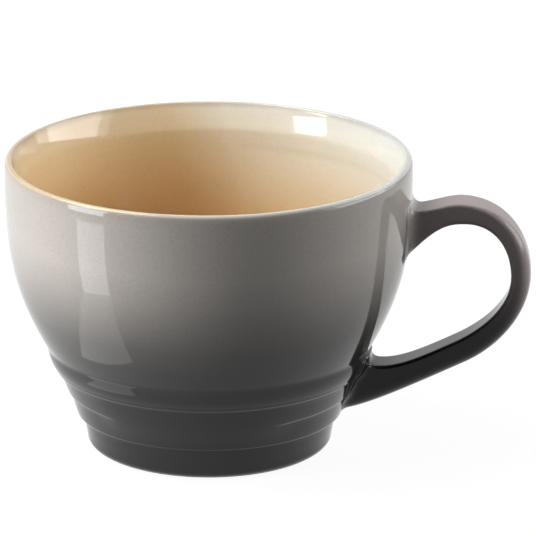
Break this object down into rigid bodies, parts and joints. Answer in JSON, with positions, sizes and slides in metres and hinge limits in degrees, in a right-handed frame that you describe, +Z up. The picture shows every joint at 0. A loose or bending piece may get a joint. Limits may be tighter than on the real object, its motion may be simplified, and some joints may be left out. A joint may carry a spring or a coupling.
{
  "type": "coffee cup",
  "caption": "Wide stoneware coffee cup: a flaring bowl on a ringed foot, with a strap loop handle, a grey glaze outside and a cream glaze inside.",
  "frame": {"origin": "on the bowl's axis at the level of the table, under the middle of the recess in the foot", "axes": "+X towards the handle, +Z up along the bowl's axis, -Y towards the smooth front panel, so the handle is on the right as seen from the front"},
  "size_m": [0.1461, 0.113, 0.083],
  "materials": {
    "clay": "bare fired stoneware, matt",
    "grey_glaze": "glossy glaze, pale grey at the rim running to charcoal at the foot",
    "handle_glaze": "glossy grey glaze, darker than the bowl's rim",
    "cream_glaze": "glossy cream to tan glaze",
    "slip": "bare fired slip, hidden under the glaze"
  },
  "bodies": {
    "root": {"stoneware_bowl": "clay", "bowl_glaze": "grey_glaze", "liner_glaze": "cream_glaze", "foot_recess_glaze": "grey_glaze", "handle_core": "clay", "handle_glaze": "handle_glaze", "upper_slip_joint": "slip", "lower_slip_joint": "slip"}
  },
  "joints": []
}
